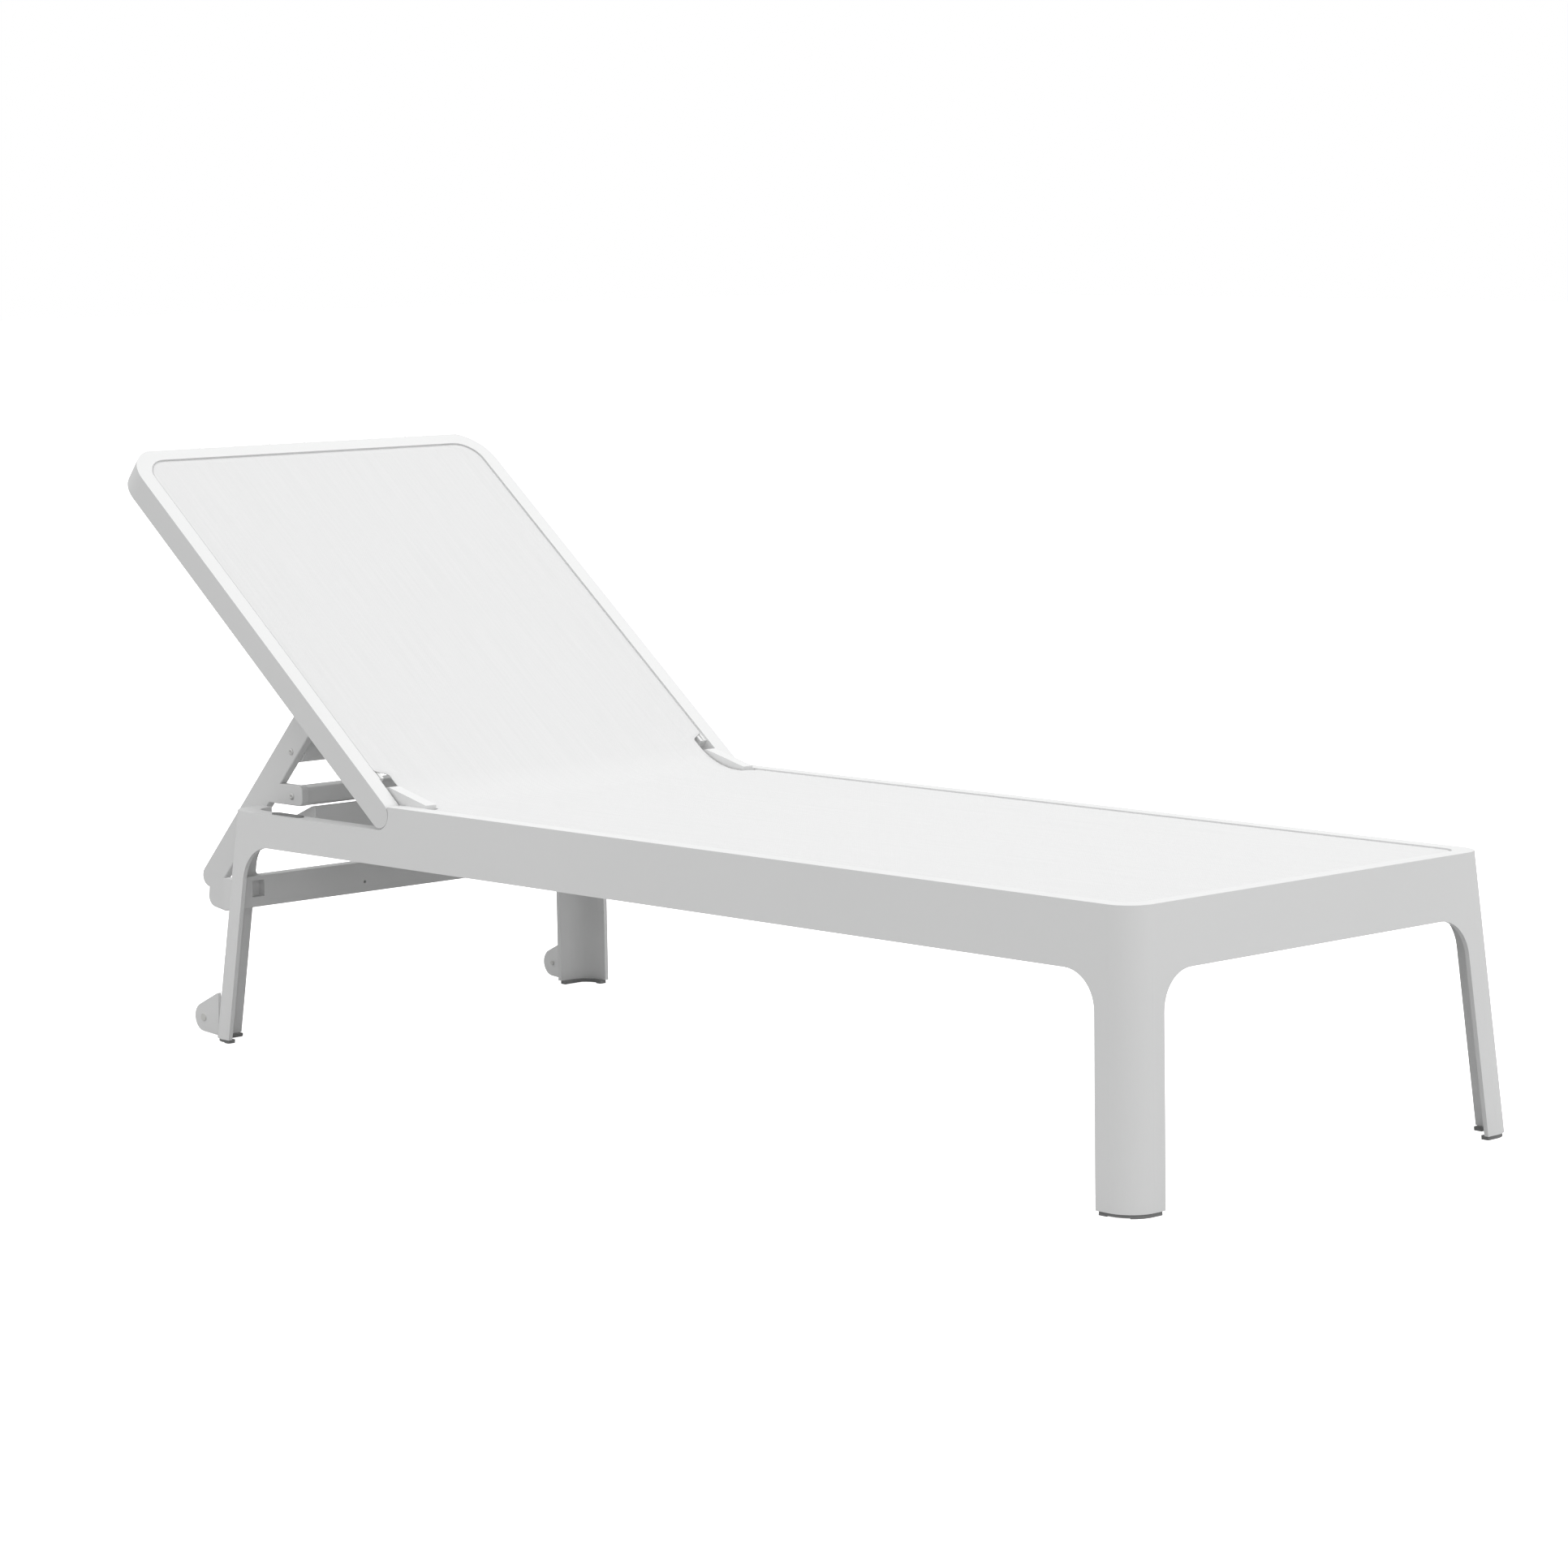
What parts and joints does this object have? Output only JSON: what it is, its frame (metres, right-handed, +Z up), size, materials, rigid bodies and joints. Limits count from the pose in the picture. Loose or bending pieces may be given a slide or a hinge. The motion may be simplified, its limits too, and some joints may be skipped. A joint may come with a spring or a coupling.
{
  "type": "reclining sun lounger",
  "caption": "Low white moulded sun lounger with mesh slings, a backrest that folds flat on a hinged prop, and small transport wheels at the head legs.",
  "frame": {"origin": "on the floor, under the middle of the overall box with the backrest raised", "axes": "+X from the head end towards the foot end, +Y across to the left of a person lying on it, +Z up"},
  "size_m": [1.8653, 0.673, 0.773],
  "materials": {
    "white_resin": "fine moulded satin, slightly warm white",
    "white_mesh": "tightly woven coated synthetic mesh",
    "keder_cord": "plain extruded cord",
    "grey_rubber": "matte, fine texture",
    "stainless": "plain turned",
    "white_tube": "powder coat",
    "bearing_resin": "smooth"
  },
  "bodies": {
    "base": {"main_frame": "white_resin", "head_beam": "white_resin", "seat_sling": "white_mesh", "seat_keder_left": "keder_cord", "seat_keder_right": "keder_cord", "seat_keder_foot": "keder_cord", "seat_brace_1": "white_tube", "seat_brace_2": "white_tube", "seat_brace_3": "white_tube", "foot_pad_left": "grey_rubber", "foot_pad_right": "grey_rubber", "head_pad_left": "grey_rubber", "head_pad_right": "grey_rubber", "hinge_pin_left": "white_resin", "hinge_pin_right": "white_resin", "wheel_axle_left": "bearing_resin", "wheel_axle_right": "bearing_resin", "backrest_buffer_left": "grey_rubber", "backrest_buffer_right": "grey_rubber"},
    "backrest": {"backrest_frame": "white_resin", "backrest_sling": "white_mesh", "backrest_keder_left": "keder_cord", "backrest_keder_right": "keder_cord", "backrest_keder_head": "keder_cord", "hinge_bush_left": "bearing_resin", "hinge_bush_right": "bearing_resin", "prop_rod": "white_tube", "prop_spacer_left": "white_resin", "prop_spacer_right": "white_resin", "prop_collar_left": "white_resin", "prop_collar_right": "white_resin"},
    "prop": {"prop_arm_left": "white_resin", "prop_arm_right": "white_resin", "prop_upper_bar": "white_resin", "prop_hook_bar": "white_resin", "prop_screws": "stainless"},
    "wheel_left_body": {"wheel_left": "white_resin"},
    "wheel_right_body": {"wheel_right": "white_resin"}
  },
  "joints": [
    {"name": "backrest_recline", "type": "hinge", "parent": "base", "child": "backrest", "pos_m": [-0.38248, 0, 0.329], "axis": [0, 1, 0], "range_deg": [-38.6, 0]},
    {"name": "prop_swing", "type": "hinge", "parent": "backrest", "child": "prop", "pos_m": [-0.57097, 0, 0.46795], "axis": [0, -1, 0], "range_deg": [-85.69, 0]},
    {"name": "wheel_left_spin", "type": "hinge", "parent": "base", "child": "wheel_left_body", "pos_m": [-0.74634, 0.3085, 0.026], "axis": [0, 1, 0], "continuous": true},
    {"name": "wheel_right_spin", "type": "hinge", "parent": "base", "child": "wheel_right_body", "pos_m": [-0.74634, -0.3085, 0.026], "axis": [0, 1, 0], "continuous": true}
  ],
  "couplings": [
    {"joint": "prop_swing", "follows": "backrest_recline", "ratio": 2.22}
  ]
}
